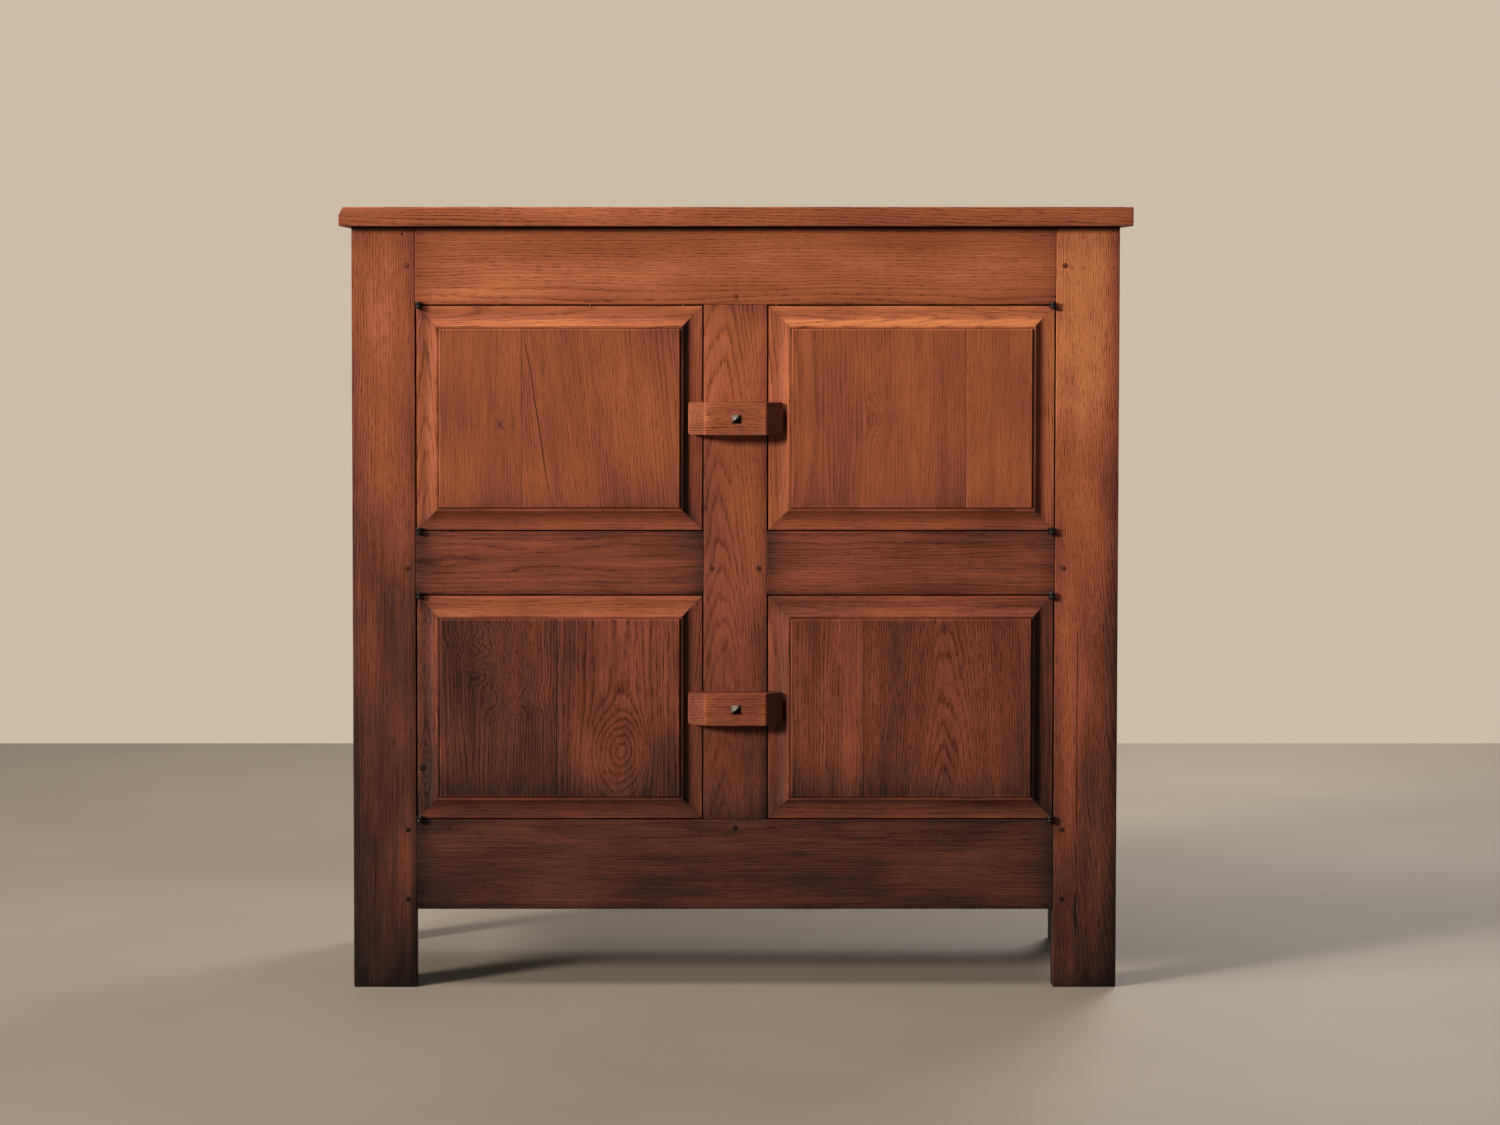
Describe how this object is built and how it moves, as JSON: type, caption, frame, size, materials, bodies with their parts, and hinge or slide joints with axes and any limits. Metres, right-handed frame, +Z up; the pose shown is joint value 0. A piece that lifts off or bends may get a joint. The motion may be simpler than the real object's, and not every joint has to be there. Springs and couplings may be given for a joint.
{
  "type": "buffet cabinet",
  "caption": "Free-standing wooden buffet cabinet: pegged frame, stacked coved panel doors on forged pivot hinges, wooden turn latches, shelf inside.",
  "frame": {"origin": "on the floor, in the middle of the overall width and depth", "axes": "+Z up, +X to the right along the width as seen from the front, +Y from the front to the back"},
  "size_m": [1.22, 0.4786, 1.21],
  "materials": {
    "stained_wood": "satin oil, red-brown",
    "plain_wood": "bare, darkened with age",
    "forged_iron": "black, forged"
  },
  "bodies": {
    "carcass": {"back_boards": "plain_wood", "back_bottom_rail": "plain_wood", "back_frame_pegs": "plain_wood", "back_left_post": "stained_wood", "back_right_post": "stained_wood", "back_top_rail": "plain_wood", "bottom_bearers": "plain_wood", "bottom_boards": "plain_wood", "centre_stile": "stained_wood", "door_stop_strip": "plain_wood", "frame_hinge_leaves": "forged_iron", "frame_pegs": "stained_wood", "front_bottom_rail": "stained_wood", "front_left_post": "stained_wood", "front_right_post": "stained_wood", "front_top_rail": "stained_wood", "hinge_pins": "forged_iron", "latch_screws": "forged_iron", "left_middle_rail": "stained_wood", "left_side_bottom_rail": "stained_wood", "left_side_panel": "stained_wood", "left_side_top_rail": "stained_wood", "right_middle_rail": "stained_wood", "right_side_bottom_rail": "stained_wood", "right_side_panel": "stained_wood", "right_side_top_rail": "stained_wood", "shelf_bearers": "plain_wood", "shelf_boards": "plain_wood", "side_frame_pegs": "stained_wood", "top_fixing_blocks": "plain_wood", "top_front_plank": "stained_wood", "top_middle_plank": "stained_wood", "top_rear_plank": "stained_wood"},
    "lower_left_door": {"lower_left_door_bottom_rail": "stained_wood", "lower_left_door_hinge_leaves": "forged_iron", "lower_left_door_hinge_stile": "stained_wood", "lower_left_door_latch_stile": "stained_wood", "lower_left_door_panel": "stained_wood", "lower_left_door_top_rail": "stained_wood"},
    "lower_right_door": {"lower_right_door_bottom_rail": "stained_wood", "lower_right_door_hinge_leaves": "forged_iron", "lower_right_door_hinge_stile": "stained_wood", "lower_right_door_latch_stile": "stained_wood", "lower_right_door_panel": "stained_wood", "lower_right_door_top_rail": "stained_wood"},
    "upper_left_door": {"upper_left_door_bottom_rail": "stained_wood", "upper_left_door_hinge_leaves": "forged_iron", "upper_left_door_hinge_stile": "stained_wood", "upper_left_door_latch_stile": "stained_wood", "upper_left_door_panel": "stained_wood", "upper_left_door_top_rail": "stained_wood"},
    "upper_right_door": {"upper_right_door_bottom_rail": "stained_wood", "upper_right_door_hinge_leaves": "forged_iron", "upper_right_door_hinge_stile": "stained_wood", "upper_right_door_latch_stile": "stained_wood", "upper_right_door_panel": "stained_wood", "upper_right_door_top_rail": "stained_wood"},
    "lower_turn_latch": {"lower_turn_latch": "stained_wood"},
    "upper_turn_latch": {"upper_turn_latch": "stained_wood"}
  },
  "joints": [
    {"name": "lower_left_door_swing", "type": "hinge", "parent": "carcass", "child": "lower_left_door", "pos_m": [-0.4885, -0.2065, 0.437], "axis": [0, 0, -1], "range_deg": [0, 165]},
    {"name": "lower_right_door_swing", "type": "hinge", "parent": "carcass", "child": "lower_right_door", "pos_m": [0.4885, -0.2065, 0.437], "axis": [0, 0, 1], "range_deg": [0, 165]},
    {"name": "lower_latch_turn", "type": "hinge", "parent": "carcass", "child": "lower_turn_latch", "pos_m": [0, -0.2167, 0.437], "axis": [0, 1, 0], "range_deg": [-90, 90]},
    {"name": "upper_left_door_swing", "type": "hinge", "parent": "carcass", "child": "upper_left_door", "pos_m": [-0.4885, -0.2065, 0.885], "axis": [0, 0, -1], "range_deg": [0, 165]},
    {"name": "upper_right_door_swing", "type": "hinge", "parent": "carcass", "child": "upper_right_door", "pos_m": [0.4885, -0.2065, 0.885], "axis": [0, 0, 1], "range_deg": [0, 165]},
    {"name": "upper_latch_turn", "type": "hinge", "parent": "carcass", "child": "upper_turn_latch", "pos_m": [0, -0.2167, 0.885], "axis": [0, 1, 0], "range_deg": [-90, 90]}
  ]
}
